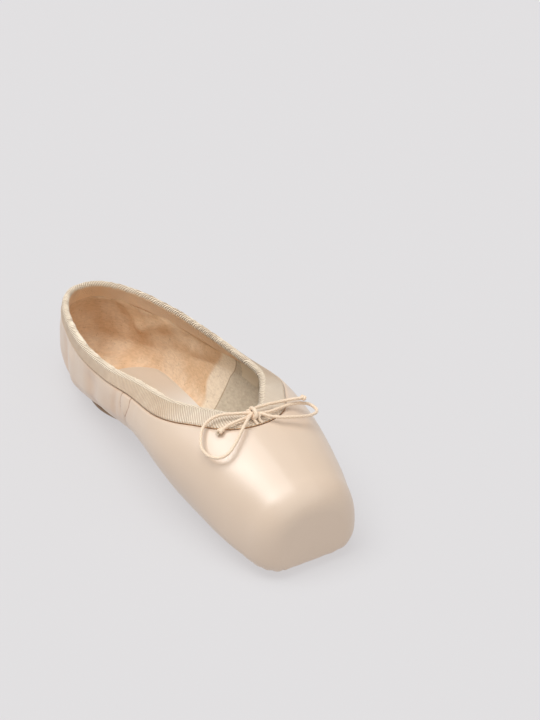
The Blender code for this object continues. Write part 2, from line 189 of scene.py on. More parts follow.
def collar_pull(along):
    """How far the collar's edge is gathered inwards, down to 0 at the throat."""
    rows = COLLAR + ((1.0, 0.0, 0.0),)
    return COLLAR_PULL * read_table(rows, COLLAR_COLUMNS, "pull", along / THROAT)


def plan_curve(share):
    """Half the heel seen from above, from its back to its side: across and along."""
    side = last_size("half_width", HEEL_ROUND)
    step = 0.001
    flare = (last_size("half_width", HEEL_ROUND + step) - side) / step
    handle = 0.55
    points = (
        Vector((0.0, 0.0)),
        Vector((side * handle, 0.0)),
        Vector((side - flare * HEEL_ROUND * handle, HEEL_ROUND * (1.0 - handle))),
        Vector((side, HEEL_ROUND)),
    )
    weights = (
        (1 - share) ** 3, 3 * share * (1 - share) ** 2, 3 * share ** 2 * (1 - share), share ** 3,
    )
    return sum((p * w for p, w in zip(points, weights)), Vector((0.0, 0.0)))


def stations():
    """Where the sections stand: centre along, direction across and along, reach, inset."""
    places = []
    for i in range(HEEL_STEPS):
        point = plan_curve(i / HEEL_STEPS)
        arm = point - Vector((0.0, HEEL_ROUND))
        places.append((HEEL_ROUND, arm.normalized(), arm.length, 0.0))
    across = Vector((1.0, 0.0))
    edge = LENGTH - PLATFORM_EDGE
    waist = (HEEL_SEAT_END + TREAD_START) / 2
    runs = (
        (HEEL_ROUND, waist, QUARTER_STEPS, 1.0),
        (waist, THROAT, SIDE_STEPS, SIDE_CROWDING),
        (THROAT, UNDERSIDE_FRONT, VAMP_STEPS, 1.0),
        (UNDERSIDE_FRONT, edge, BOX_STEPS, 1.0),
    )
    for start, stop, steps, crowding in runs:
        for i in range(steps):
            along = start + (stop - start) * (1.0 - (1.0 - i / steps) ** crowding)
            places.append((along, across, last_size("half_width", along), 0.0))
    for i in range(EDGE_STEPS + 1):
        turn = math.pi / 2 * i / EDGE_STEPS
        along = edge + PLATFORM_EDGE * math.sin(turn)
        inset = PLATFORM_EDGE * (1.0 - math.cos(turn))
        places.append((along, across, last_size("half_width", along) - inset, inset))
    return places


def underside_opening(along, tread):
    """Half width of the opening that the sole closes, down to 0 at its ends."""
    if not UNDERSIDE_BACK < along < UNDERSIDE_FRONT:
        return 0.0
    width = max(tread - TURNED_UNDER, 0.0)
    return width * end_round(along, UNDERSIDE_BACK, UNDERSIDE_FRONT, UNDERSIDE_ROUND)


def half_section(centre, direction, reach, inset):
    """Points of one half section, from the edge underneath up to the collar or the crown."""
    heel = direction.y < 0.0
    widest = last_size("widest", centre)
    crown = last_size("crown", centre) - inset
    tread = last_size("tread", centre)
    if heel:
        tread *= reach / last_size("half_width", centre)
    tread = min(tread, reach)
    low = bottom(centre) + PLATFORM_LIFT * inset / PLATFORM_EDGE
    side_power = 2.0 / last_size("side_curve", centre)
    top_power = 2.0 / last_size("top_curve", centre)

    edge_along = centre + direction.y * reach
    open_top = heel or centre < THROAT - TINY
    top = min(collar_height(edge_along), crown) if open_top else crown
    pull = collar_pull(edge_along) if open_top else 0.0

    inner = underside_opening(centre, tread)
    points = [(inner + (tread - inner) * i / UNDER_ROWS, low) for i in range(UNDER_ROWS + 1)]
    for i in range(1, LOWER_ROWS + 1):
        turn = math.pi / 2 * i / LOWER_ROWS
        out = tread + (reach - tread) * math.sin(turn) ** side_power
        up = widest - (widest - low) * math.cos(turn) ** side_power
        points.append((out, up))

    height = (top - widest) / (crown - widest)
    full_turn = math.asin(min(height, 1.0) ** (1.0 / top_power))
    for i in range(1, UPPER_ROWS + 1):
        turn = full_turn * i / UPPER_ROWS
        out = reach * max(math.cos(turn), 0.0) ** top_power
        up = widest + (crown - widest) * math.sin(turn) ** top_power
        share = (up - widest) / (top - widest)
        out -= pull * share * share * min(out / PULL_FADE, 1.0)
        points.append((max(out, 0.0), up))
    if not open_top:
        points[-1] = (0.0, points[-1][1])
    for _ in range(SOFTENING):
        for k in range(UNDER_ROWS + 4, len(points) - 5):
            (a, b), (c, d), (e, f) = points[k - 1:k + 2]
            points[k] = ((a + 2 * c + e) / 4, (b + 2 * d + f) / 4)
    return [
        Vector((direction.x * out, LENGTH / 2 - (centre + direction.y * out), up))
        for out, up in points
    ]


def platform_rings(rim):
    """Rings from the platform's rim to its middle, a little domed."""
    middle = Vector((0.0, rim[0].y, (rim[0].z + rim[-1].z) / 2))
    rings = []
    for share in (0.86, 0.68, 0.48, 0.26, 0.0):
        dome = Vector((0.0, -PLATFORM_CROWN * (1.0 - share * share), 0.0))
        rings.append([middle + (p - middle) * share + dome for p in rim])
    return rings


def lace(shape, rows, flip=False):
    """Add the faces between neighbouring rows of vertices."""
    for row, next_row in zip(rows, rows[1:]):
        for k in range(len(row) - 1):
            corners = [row[k], row[k + 1], next_row[k + 1], next_row[k]]
            shape.faces.new(corners[::-1] if flip else corners)


def skin():
    """The outside of the last as one open surface, facing out."""
    shape = bmesh.new()
    rows = [half_section(*place) for place in stations()]
    rows += platform_rings(rows[-1])
    for side in (1.0, -1.0):
        grid = [[shape.verts.new((side * p.x, p.y, p.z)) for p in row] for row in rows]
        lace(shape, grid, side < 0)
    bmesh.ops.remove_doubles(shape, verts=shape.verts[:], dist=TINY)
    bmesh.ops.recalc_face_normals(shape, faces=shape.faces[:])
    outermost = max(shape.faces, key=lambda face: face.calc_center_median().x)
    if outermost.normal.x < 0:
        bmesh.ops.reverse_faces(shape, faces=shape.faces[:])
    shape.normal_update()
    return shape


def collar_loop():
    """The collar's edge on the upper's outside, once round from the throat over one side."""
    half = []
    for place in stations():
        centre, direction = place[0], place[1]
        if direction.y < 0.0 or centre < THROAT - TINY:
            half.append(half_section(*place)[-1])
    throat = Vector((0.0, LENGTH / 2 - THROAT, last_size("crown", THROAT)))
    right = half[1:]
    left = [Vector((-p.x, p.y, p.z)) for p in reversed(right)]
    return [throat] + left + [half[0]] + right


def spaced_loop(points, step):
    """A closed loop again, with points about a step apart."""
    made = []
    for here, there in zip(points, points[1:] + points[:1]):
        pieces = max(1, round((there - here).length / step))
        made += [here.lerp(there, i / pieces) for i in range(pieces)]
    return made


def binding_depth(along):
    """How far the tape reaches down outside the collar: more towards the throat."""
    near_throat = smooth_step(1.0 - (THROAT - along) / THROAT_BLEND)
    return BINDING_DEPTH + (THROAT_DEPTH - BINDING_DEPTH) * near_throat


COLLAR_SPACING = 0.00034
collar_edge = spaced_loop(collar_loop(), COLLAR_SPACING)
collar_run = [0.0]
for here, there in zip(collar_edge, collar_edge[1:]):
    collar_run.append(collar_run[-1] + (there - here).length)
collar_tree = KDTree(len(collar_edge))
for i, point in enumerate(collar_edge):
    collar_tree.insert(point, i)
collar_tree.balance()


def under_tape(point):
    """How far a point lies below the tape's lower edge, and its place round the collar."""
    nearest, index, distance = collar_tree.find(point)
    return distance - binding_depth(LENGTH / 2 - nearest.y), collar_run[index]


def hill(value, middle, width):
    """A smooth bump of height 1."""
    return math.exp(-((value - middle) / width) ** 2)


# Where quarter and vamp are sewn together on each side, and the tuck that meets the seam:
# height and distance along at each point, from the sole up
SIDE_SEAM = (
    (0.0060, 0.1195), (0.0180, 0.1206), (0.0311, 0.1213), (0.0336, 0.1216), (0.0368, 0.1229),
    (0.0401, 0.1238), (0.0430, 0.1226),
)
SIDE_TUCK = (
    (0.0336, 0.1214), (0.0342, 0.1192), (0.0350, 0.1172), (0.0362, 0.1156), (0.0382, 0.1143),
    (0.0405, 0.1139), (0.0430, 0.1138),
)
SEAM_GROOVE = 0.0005
SEAM_HALF_WIDTH = 0.0009
TUCK_LIFT = 0.0006


def along_at(line, height):
    """Where a seam stands along the shoe at a height."""
    if height <= line[0][0]:
        return line[0][1]
    for (low, start), (high, stop) in zip(line, line[1:]):
        if height <= high:
            return start + (stop - start) * (height - low) / (high - low)
    return line[-1][1]


def seam_relief(along, height):
    """The sunk side seam, and the fold of satin between it and its tuck."""
    seam = along_at(SIDE_SEAM, height)
    lift = -SEAM_GROOVE * hill(along, seam, SEAM_HALF_WIDTH)
    if height > SIDE_TUCK[0][0]:
        tuck = along_at(SIDE_TUCK, height)
        lift -= SEAM_GROOVE * hill(along, tuck, SEAM_HALF_WIDTH)
        lift += TUCK_LIFT * hill(along, (seam + tuck) / 2, (seam - tuck) / 3 + SEAM_HALF_WIDTH)
    return lift


# Folds of the slack quarters: side of the shoe, then along and up at the top
# and at the foot of the fold, its half width, and how far it stands out (or in, where below 0)
SATIN_FOLDS = (
    (-1, 0.0200, 0.036, 0.0190, 0.008, 0.0060, 0.0007),
    (-1, 0.0350, 0.036, 0.0350, 0.008, 0.0050, -0.0010),
    (-1, 0.0500, 0.036, 0.0540, 0.008, 0.0066, 0.0012),
    (-1, 0.0790, 0.038, 0.0830, 0.012, 0.0066, -0.0014),
    (-1, 0.0935, 0.038, 0.0995, 0.014, 0.0056, 0.0001),
    (-1, 0.1020, 0.028, 0.1160, 0.030, 0.0080, -0.0009),
    (-1, 0.1070, 0.042, 0.1085, 0.030, 0.0026, -0.0008),
    (1, 0.0250, 0.036, 0.0230, 0.008, 0.0058, 0.0008),
    (1, 0.0420, 0.036, 0.0400, 0.008, 0.0055, -0.0010),
    (1, 0.0580, 0.036, 0.0610, 0.008, 0.0066, 0.0011),
    (1, 0.0750, 0.038, 0.0800, 0.012, 0.0058, -0.0013),
    (1, 0.0900, 0.038, 0.0950, 0.014, 0.0058, 0.0011),
    (1, 0.1040, 0.042, 0.1080, 0.022, 0.0035, -0.0008),
)


def fold_lift(folds, side, along, up):
    """How far the folds of one side lift a point, each fading out round its own line."""
    lift = 0.0
    for fold_side, top, top_up, foot, foot_up, half_width, height in folds:
        if fold_side != side:
            continue
        run, drop = foot - top, foot_up - top_up
        share = ((along - top) * run + (up - top_up) * drop) / (run * run + drop * drop)
        share = min(max(share, 0.0), 1.0)
        away = math.hypot(along - top - share * run, up - top_up - share * drop)
        lift += height * math.exp(-(away / half_width) ** 2)
    return lift


GATHER = 0.00034
GATHER_WIDTH = 0.0040
GATHER_FADE = 0.005
PUFF = 0.0012
PUFF_RISE = 0.0014
PUFF_FADE = 0.0085
PLEAT = 0.0013
PLEAT_COUNT = 22
PLEAT_CENTRE = 0.188
PLEAT_TOP = 0.0085
PLEAT_WANDER = 0.9
PLEAT_START = 0.004
PLEAT_GROWTH = 0.010
UNEVEN = 0.00014
UNEVEN_WIDTH = 0.013
SOLE_GRIP = 0.004
WALL_RISE = 0.012
SOFT_END = 0.100
SOFT_FADE = 0.035
GATHER_END = 0.135
GATHER_END_FADE = 0.030
FOLD_FADE = 0.008
MIDDLE_STRIP = 0.012
HEEL_SEAM_END = 0.020
HEEL_SEAM_REACH = 0.004


def pleats(point, along):
    """Pleats of satin gathered under the toe: sharp valleys that fan out from the sole."""
    low = 1.0 - smooth_step((point.z - bottom(along)) / PLEAT_TOP)
    if along < PLEAT_CENTRE or low <= 0.0:
        return 0.0
    angle = math.atan2(point.x, along - PLEAT_CENTRE)
    wander = PLEAT_WANDER * noise.noise(Vector((angle * 2.1, 3.7, 1.9)))
    phase = angle / math.pi * PLEAT_COUNT + wander
    valley = abs(math.sin(math.pi * phase)) ** 0.5
    away = smooth_step((math.hypot(point.x, along - PLEAT_CENTRE) - PLEAT_START) / PLEAT_GROWTH)
    return -PLEAT * (1.0 - valley) * low * away


def satin_relief(point):
    """How far folds lift the satin off the last at a point: not at all beneath the tape."""
    along = LENGTH / 2 - point.y
    below, run = under_tape(point)
    if below <= 0.0:
        return 0.0
    side = 1 if point.x > 0 else -1
    slack = smooth_step(below / PUFF_RISE)
    on_wall = smooth_step((point.z - bottom(along) - SOLE_GRIP) / WALL_RISE)
    soft = 1.0 - smooth_step((along - SOFT_END) / SOFT_FADE)
    gathered = 1.0 - smooth_step((along - GATHER_END) / GATHER_END_FADE)

    lift = PUFF * (1.0 - 0.35 * soft) * slack * math.exp(-below / PUFF_FADE)
    wave = noise.noise(Vector((run / GATHER_WIDTH, below / 0.030, side * 3.1)))
    lift += GATHER * wave * slack * math.exp(-below / GATHER_FADE) * gathered
    draped = smooth_step(below / FOLD_FADE) * on_wall
    lift += fold_lift(SATIN_FOLDS, side, along, point.z) * draped
    lift += UNEVEN * noise.noise(point / UNEVEN_WIDTH) * slack
    if abs(point.x) > MIDDLE_STRIP:
        lift += seam_relief(along, point.z) * slack
    if along < HEEL_SEAM_END and abs(point.x) < HEEL_SEAM_REACH:
        lift -= SEAM_GROOVE * hill(point.x, 0.0, SEAM_HALF_WIDTH) * on_wall * slack
    return lift + pleats(point, along)


class Wire:
    """A node's output. Arithmetic on wires and numbers adds Math nodes."""

    def __init__(self, finish, socket):
        self.finish = finish
        self.socket = socket

    def maths(self, operation, *values):
        sockets = dict(enumerate(values))
        return self.finish.node("ShaderNodeMath", {"operation": operation}, sockets)

    def __add__(self, other):
        return self.maths("ADD", self, other)

    def __sub__(self, other):
        return self.maths("SUBTRACT", self, other)

    def __rsub__(self, other):
        return self.maths("SUBTRACT", other, self)

    def __mul__(self, other):
        return self.maths("MULTIPLY", self, other)

    def __truediv__(self, other):
        return self.maths("DIVIDE", self, other)

    __radd__ = __add__
    __rmul__ = __mul__


class Finish:
    """A procedural material, and the nodes that it is made of."""

    def __init__(self, name, colour, **values):
        self.material = bpy.data.materials.new(name)
        self.material.use_nodes = True
        self.material.diffuse_color = (*colour, 1.0)
        self.nodes = self.material.node_tree.nodes
        self.shader = self.nodes["Principled BSDF"]
        self.shader.inputs["Base Color"].default_value = (*colour, 1.0)
        for socket, value in values.items():
            self.shader.inputs[socket.replace("_", " ")].default_value = value

    def node(self, kind, settings, inputs, output=0):
        """Add a node; settings are set first, then its sockets' values or links."""
        made = self.nodes.new(kind)
        for name, value in settings.items():
            setattr(made, name, value)
        for name, value in inputs.items():
            if isinstance(value, Wire):
                self.material.node_tree.links.new(value.socket, made.inputs[name])
            else:
                made.inputs[name].default_value = value
        return Wire(self, made.outputs[output])

    def place(self, output="Object", scale=(1.0, 1.0, 1.0)):
        """A point on the piece, in its own coordinates or its UV map, scaled."""
        point = self.node("ShaderNodeTexCoord", {}, {}, output)
        return self.node("ShaderNodeMapping", {}, {"Vector": point, "Scale": scale})

    def stored(self, name):
        """A number stored at each of the mesh's own points."""
        return self.node("ShaderNodeAttribute", {"attribute_name": name}, {}, 2)

    def noise(self, point, size, detail=2.0):
        """Cloudy noise with features of a real size."""
        sockets = {"Vector": point, "Scale": 1.0 / size, "Detail": detail}
        return self.node("ShaderNodeTexNoise", {}, sockets)

    def split(self, point):
        """The three parts of a point, as wires."""
        split = self.node("ShaderNodeSeparateXYZ", {}, {"Vector": point})
        return [Wire(self, out) for out in split.socket.node.outputs]

    def mix(self, factor, first, second):
        """One colour blended into another."""
        first, second = [c if isinstance(c, Wire) else (*c, 1.0) for c in (first, second)]
        sockets = {"Factor": factor, 6: first, 7: second}
        return self.node("ShaderNodeMix", {"data_type": "RGBA"}, sockets, 2)

    def step(self, value, low, high):
        """0 below a value and 1 above another, smooth between them."""
        settings = {"interpolation_type": "SMOOTHSTEP"}
        sockets = {"Value": value, "From Min": low, "From Max": high}
        return self.node("ShaderNodeMapRange", settings, sockets)

    def wave(self, length):
        """A smooth wave of 0 to 1 over a length."""
        turn = length * (2.0 * math.pi)
        return turn.maths("SINE", turn) * 0.5 + 0.5

    def wear(self, **links):
        """Link wires to the shader's own sockets."""
        for socket, wire in links.items():
            target = self.shader.inputs[socket.replace("_", " ")]
            self.material.node_tree.links.new(wire.socket, target)

    def bump(self, height, distance):
        """Relief of a real depth from a height of 0 to 1."""
        sockets = {"Height": height, "Distance": distance, "Strength": 1.0}
        self.wear(Normal=self.node("ShaderNodeBump", {}, sockets))


def add_piece(name, mesh, finish, slot, *nodes):
    """A finished piece on the shoe's one body, in place of the CAD nodes that it stands for."""
    piece = bpy.data.objects.new(name, mesh)
    bpy.context.collection.objects.link(piece)
    mesh.materials.append(finish.material)
    if isinstance(mesh, bpy.types.Mesh):
        mesh.shade_smooth()
    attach(piece, "root")
    if nodes:
        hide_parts(*nodes)
    return piece


def bmesh_to_mesh(shape, name):
    """A mesh made of a bmesh, which is then freed."""
    mesh = bpy.data.meshes.new(name)
    shape.to_mesh(mesh)
    shape.free()
    return mesh


def store(piece, name, measure):
    """Store a number at each point of a piece's mesh for its material to read."""
    values = [measure(vert.co) for vert in piece.data.vertices]
    piece.data.attributes.new(name, "FLOAT", "POINT").data.foreach_set("value", values)


def thicken(piece, thickness):
    """Give an open surface its thickness, inwards from where it lies."""
    wall = piece.modifiers.new("thickness", "SOLIDIFY")
    wall.thickness = thickness
    wall.offset = -1.0
    wall.use_even_offset = False
    wall.use_rim = True


SATIN_THICKNESS = 0.0005
SATIN = (0.700, 0.556, 0.432)
SATIN_SHADE = (0.675, 0.505, 0.37)
# Deeper tone painted into the fold troughs and the low back of the heel, as painted shade and warm
# bounce light.
SATIN_PAINTED_WARM_SHADE = (0.66, 0.44, 0.29)
SEAM_SHADOW = (0.36, 0.17, 0.09)
SEAM_LINE = (0.00000002, 0.00000022)
PAINTED_SHADE_DEPTH = 0.0020
PAINTED_SHADE_MOST = 0.5
FAR_OFF = 0.01
satin = Finish(
    "peach satin", SATIN, Roughness=0.35, Specular_IOR_Level=1.0, Sheen_Weight=0.1)
spot = satin.place()
satin_tone_and_painted_shade = satin.mix(satin.noise(spot, 0.030) * 0.5, SATIN, SATIN_SHADE)
# Painted shade: the troughs of the folds are painted in a deeper, more orange tone.
satin_tone_and_painted_shade = satin.mix(satin.stored("fold_painted_shade"), satin_tone_and_painted_shade, SATIN_PAINTED_WARM_SHADE)
_, back, up = satin.split(spot)
# Painted warm bounce light and shade: the low back of the heel is painted in the deeper, more
# orange tone.
painted_heel_bounce = satin.step(back, 0.0, 0.030) * (1.0 - satin.step(up, 0.004, 0.026))
satin_tone_and_painted_shade = satin.mix(painted_heel_bounce * 0.85, satin_tone_and_painted_shade, SATIN_PAINTED_WARM_SHADE)
for line in ("past_seam", "past_tuck", "past_tape"):
    gap = satin.stored(line)
    crease = 1.0 - satin.step(gap * gap, *SEAM_LINE)
    satin_tone_and_painted_shade = satin.mix(crease * 0.75, satin_tone_and_painted_shade, SEAM_SHADOW)
satin.wear(Base_Color=satin_tone_and_painted_shade)
satin.wear(Roughness=satin.noise(spot, 0.004) * 0.10 + 0.30)
threads = satin.noise(satin.place(scale=(1.0, 0.12, 1.0)), 0.00035, 3.0)
satin.bump(threads, 0.00003)

satin_shape = skin()
lifts = [satin_relief(vert.co) for vert in satin_shape.verts]
for vert, lift in zip(satin_shape.verts, lifts):
    vert.co += vert.normal * lift
upper = add_piece("satin_upper", bmesh_to_mesh(satin_shape, "satin"), satin, "satin", "upper")
thicken(upper, SATIN_THICKNESS)


def past_seam(point):
    """How far a point of the satin lies past the side seam, or past the one down the heel."""
    along = LENGTH / 2 - point.y
    if abs(point.x) > MIDDLE_STRIP:
        return along - along_at(SIDE_SEAM, point.z)
    return point.x if along < 0.030 and point.z > 0.008 else FAR_OFF


def past_tuck(point):
    """How far a point of the satin lies past the tuck, where there is one."""
    if abs(point.x) < MIDDLE_STRIP or point.z < SIDE_TUCK[0][0]:
        return FAR_OFF
    return LENGTH / 2 - point.y - along_at(SIDE_TUCK, point.z)


def fold_painted_shade(point):
    """How deep a point lies in the trough of a fold, which is painted in a deeper colour as painted
    shade.
    """
    along = LENGTH / 2 - point.y
    side = 1 if point.x > 0 else -1
    depth = -fold_lift(SATIN_FOLDS, side, along, point.z)
    return min(max(depth / PAINTED_SHADE_DEPTH, 0.0), PAINTED_SHADE_MOST)


store(upper, "past_seam", past_seam)
store(upper, "past_tuck", past_tuck)
store(upper, "past_tape", lambda point: under_tape(point)[0])
store(upper, "fold_painted_shade", fold_painted_shade)


# The lining: tan cotton drill in the quarters, and pale canvas stiffened with paste in the
# vamp. It hangs a little loose at the heel, so its own folds show inside the shoe.
LINING_THICKNESS = WALL - SATIN_THICKNESS - 0.0002
LINING_TAN = (0.69, 0.455, 0.265)
LINING_PALE = (0.80, 0.60, 0.41)
TWILL_BAND = (0.83, 0.69, 0.52)
VAMP_CANVAS = (0.50, 0.42, 0.31)
CANVAS_THREADS = (0.70, 0.60, 0.46)
SEAM_BROWN = (0.30, 0.17, 0.09)
LINING_SEAM_LINE = (0.00000005, 0.00000030)
LINING_GAP = 0.0002
LOOSE = 0.0009
LOOSE_WAVE = 0.0004
LOOSE_END = 0.104
LOOSE_FADE = 0.012
# Where the lining's vamp seam and the twill band before it stand: height and distance along
VAMP_SEAM = (
    (0.0060, 0.1086), (0.0124, 0.1083), (0.0163, 0.1075), (0.0210, 0.1062), (0.0252, 0.1049),
    (0.0288, 0.1061), (0.0368, 0.1096), (0.0460, 0.1130),
)
BAND_EDGE = (
    (0.0060, 0.1020), (0.0119, 0.0981), (0.0138, 0.0948), (0.0161, 0.0911), (0.0199, 0.0891),
    (0.0252, 0.0898), (0.0338, 0.0966), (0.0460, 0.1040),
)
# Creases and soft folds of the loose lining, in the same columns as the satin's folds
LINING_FOLDS = (
    (1, 0.0300, 0.0220, 0.0500, 0.0310, 0.0040, 0.0014),
    (1, 0.0240, 0.0090, 0.0650, 0.0135, 0.0040, -0.0006),
    (1, 0.0620, 0.0290, 0.0880, 0.0365, 0.0036, -0.0006),
    (1, 0.0700, 0.0230, 0.0860, 0.0290, 0.0040, 0.0010),
    (1, 0.0180, 0.0330, 0.0300, 0.0200, 0.0035, 0.0009),
    (-1, 0.0300, 0.0300, 0.0520, 0.0200, 0.0045, 0.0012),
    (-1, 0.0640, 0.0310, 0.0820, 0.0230, 0.0040, 0.0010),
)


def lining_relief(point):
    """How far the lining's folds stand in from the wall: none where the box is hard."""
    along = LENGTH / 2 - point.y
    quarter = 1.0 - smooth_step((along - LOOSE_END) / LOOSE_FADE)
    under = smooth_step((under_tape(point)[0] + 0.002) / 0.006)
    over = smooth_step((point.z - bottom(along) - 0.003) / 0.008)
    side = 1 if point.x > 0 else -1
    slant = Vector((point.x / 0.030, (point.y + point.z * 0.7) / 0.020, point.z / 0.040))
    fold = LOOSE_WAVE * (0.5 + noise.noise(slant)) + LOOSE
    fold += fold_lift(LINING_FOLDS, side, along, point.z)
    return max(fold, 0.0) * quarter * under * over


lining = Finish("lining cloth", LINING_TAN, Roughness=0.85)
spot = lining.place()
cloud = lining.noise(spot, 0.018, 3.0)
fleck = lining.step(lining.noise(spot, 0.0012, 2.0), 0.64, 0.72)
drill = lining.mix(lining.step(cloud, 0.35, 0.70), LINING_TAN, LINING_PALE)
seam_gap = lining.stored("past_seam")
canvas = lining.mix(lining.noise(spot, 0.002, 4.0), VAMP_CANVAS, CANVAS_THREADS)
cloth = lining.mix(lining.step(lining.stored("past_band"), -0.0020, 0.0020), drill, TWILL_BAND)
cloth = lining.mix(lining.step(seam_gap, -0.0003, 0.0003), cloth, canvas)
near_line = 1.0 - lining.step(seam_gap * seam_gap, *LINING_SEAM_LINE)
cloth = lining.mix(near_line * 0.55, cloth, SEAM_BROWN)
weft = lining.noise(lining.place(scale=(0.3, 0.3, 1.0)), 0.0008, 2.0)
warp = lining.noise(lining.place(scale=(1.0, 1.0, 0.3)), 0.0006, 2.0)
cloth = lining.mix(lining.step(weft, 0.38, 0.62) * 0.16, cloth, SEAM_BROWN)
lining.wear(Base_Color=lining.mix(fleck * 0.40, cloth, SEAM_BROWN))
lining.bump(weft + warp, 0.00016)

lining_shape = skin()
folds = [lining_relief(vert.co) for vert in lining_shape.verts]
for vert, fold, lift in zip(lining_shape.verts, folds, lifts):
    vert.co -= vert.normal * (SATIN_THICKNESS + LINING_GAP + max(fold, -lift))
canvas_lining = add_piece(
    "lining", bmesh_to_mesh(lining_shape, "lining"), lining, "satin", "upper")
store(canvas_lining, "past_seam", lambda p: LENGTH / 2 - p.y - along_at(VAMP_SEAM, p.z))
store(canvas_lining, "past_band", lambda p: LENGTH / 2 - p.y - along_at(BAND_EDGE, p.z))
thicken(canvas_lining, LINING_THICKNESS)


# The size label: a small pale patch glued to the lining inside the vamp, left bare.
# Only its cut edges show, as a thin step against the canvas.
LABEL_CORNERS = ((0.1137, 0.0405), (0.1092, 0.0282), (0.1276, 0.0290), (0.1276, 0.0392))
LABEL_STEPS = 16
LABEL_THICKNESS = 0.0003
LABEL_CLOTH = (0.70, 0.585, 0.43)

label = Finish("label cloth", LABEL_CLOTH, Roughness=0.8)
label.bump(label.noise(label.place(), 0.0006, 3.0), 0.00005)
skin_shape = skin()
skin_tree = BVHTree.FromBMesh(skin_shape)
skin_shape.free()
label_shape = bmesh.new()
corners = [Vector(corner) for corner in LABEL_CORNERS]
grid = []
for i in range(LABEL_STEPS + 1):
    row = []
    for k in range(LABEL_STEPS + 1):
        across, down = i / LABEL_STEPS, k / LABEL_STEPS
        top, foot = corners[0].lerp(corners[3], across), corners[1].lerp(corners[2], across)
        along, up = top.lerp(foot, down)
        place = Vector((BALL_WIDTH / 2, LENGTH / 2 - along, up))
        spot, normal, _, _ = skin_tree.ray_cast(place, Vector((-1.0, 0.0, 0.0)))
        row.append(label_shape.verts.new(spot - normal * (WALL + LABEL_THICKNESS)))
    grid.append(row)
lace(label_shape, list(zip(*grid)))
label_shape.normal_update()
label_shape.faces.ensure_lookup_table()
if label_shape.faces[0].normal.x > 0:
    bmesh.ops.reverse_faces(label_shape, faces=label_shape.faces[:])
patch = add_piece("bare_label", bmesh_to_mesh(label_shape, "label"), label, "insole cloth")
thicken(patch, LABEL_THICKNESS)


# The outsole: one narrow piece of brown leather, flat at heel and ball, its edge pared round.
# It is glued and stitched over the turned-under satin, so its edge shows as a dark line.
SOLE_EDGE = 0.001
SOLE_BACK = 0.0095
SOLE_TIP_ROUND = 0.016
SOLE_RINGS = 150
SOLE_PROFILE = (
    (-0.0009, 0.0), (-0.0003, 0.0003), (0.0, 0.0010), (0.0, 0.0018), (-0.0004, 0.0026),
)
LEATHER_DARK = (0.28, 0.17, 0.10)
LEATHER_PALE = (0.40, 0.27, 0.165)


def flat_outline(back, front, length, half_width, count):
    """Stations of a flat piece with round ends: distance along and half width."""
    made = []
    for i in range(count + 1):
        along = back + (front - back) * (0.5 - 0.5 * math.cos(math.pi * i / count))
        made.append((along, half_width(along) * end_round(along, back, front, length)))
    return made


leather = Finish("sole leather", (0.33, 0.21, 0.125), Roughness=0.55)
spot = leather.place()
patches = leather.noise(spot, 0.012, 3.0)
leather.wear(Base_Color=leather.mix(patches, LEATHER_DARK, LEATHER_PALE))
leather.wear(Roughness=leather.noise(spot, 0.006) * 0.25 + 0.42)
leather.bump(leather.noise(spot, 0.0012, 5.0), 0.00015)

sole_shape = bmesh.new()
outline = flat_outline(
    SOLE_BACK, SOLE_FRONT, SOLE_TIP_ROUND, lambda a: last_size("tread", a) + SOLE_EDGE, SOLE_RINGS)
rows = []
for along, half in outline:
    row = [(0.0, 0.0)] + [(max(half + inset, 0.0), up) for inset, up in SOLE_PROFILE]
    row.append((0.0, SOLE_THICKNESS))
    rows.append([(x, LENGTH / 2 - along, arch(along) + z) for x, z in row])
for side in (1.0, -1.0):
    grid = [[sole_shape.verts.new((side * x, y, z)) for x, y, z in row] for row in rows]
    lace(sole_shape, list(zip(*grid)), side < 0)
bmesh.ops.remove_doubles(sole_shape, verts=sole_shape.verts[:], dist=TINY)
bmesh.ops.recalc_face_normals(sole_shape, faces=sole_shape.faces[:])
add_piece("leather_sole", bmesh_to_mesh(sole_shape, "sole"), leather, "sole leather", "outsole")


# The insole: a pale sock of brushed cloth over the shank, cut short of heel and toe.
# Its edges curl a little up the sides, and its back end shows as a soft step at the heel.
INSOLE_THICKNESS = 0.0016
INSOLE_WIDTH = 0.042
INSOLE_CLIMB = 0.002
INSOLE_FRONT = LENGTH - 0.026
INSOLE_ROUND = 0.018
INSOLE_END_SHARE = 0.15
INSOLE_ROWS = 120
INSOLE_COLUMNS = 14
SOCK_PAINTED_LIGHT = (0.80, 0.75, 0.68)
SOCK_PAINTED_SHADE = (0.61, 0.49, 0.375)
SOCK_DARK = (0.55, 0.43, 0.32)


def insole_row(along, share):
    """Half of the insole at one station, on the upper's outside: flat, then up the side."""
    tread = last_size("tread", along)
    reach = last_size("half_width", along)
    widest = last_size("widest", along)
    low = bottom(along)
    side_power = 2.0 / last_size("side_curve", along)
    limit = min(INSOLE_WIDTH / 2 + WALL, tread + INSOLE_CLIMB) * share
    points = []
    for i in range(INSOLE_COLUMNS + 1):
        out = limit * i / INSOLE_COLUMNS
        if out <= tread:
            points.append((out, low))
        else:
            turn = math.asin(((out - tread) / (reach - tread)) ** (1.0 / side_power))
            points.append((out, widest - (widest - low) * math.cos(turn) ** side_power))
    return [Vector((out, LENGTH / 2 - along, up)) for out, up in points]


sock = Finish("sock cloth", (0.78, 0.62, 0.46), Roughness=0.80, Sheen_Weight=0.2)
spot = sock.place()
# Painted light and shade: the sock is painted pale towards the front, where light falls, and in
# deeper mottled tones towards the heel.
shaded_sock_mottle = sock.mix(sock.noise(spot, 0.020, 3.0), SOCK_PAINTED_SHADE, SOCK_DARK)
towards_heel = sock.step(sock.split(spot)[1], -0.005, 0.055)
sock.wear(Base_Color=sock.mix(towards_heel, SOCK_PAINTED_LIGHT, shaded_sock_mottle))
sock.bump(sock.noise(spot, 0.0005, 3.0), 0.00006)

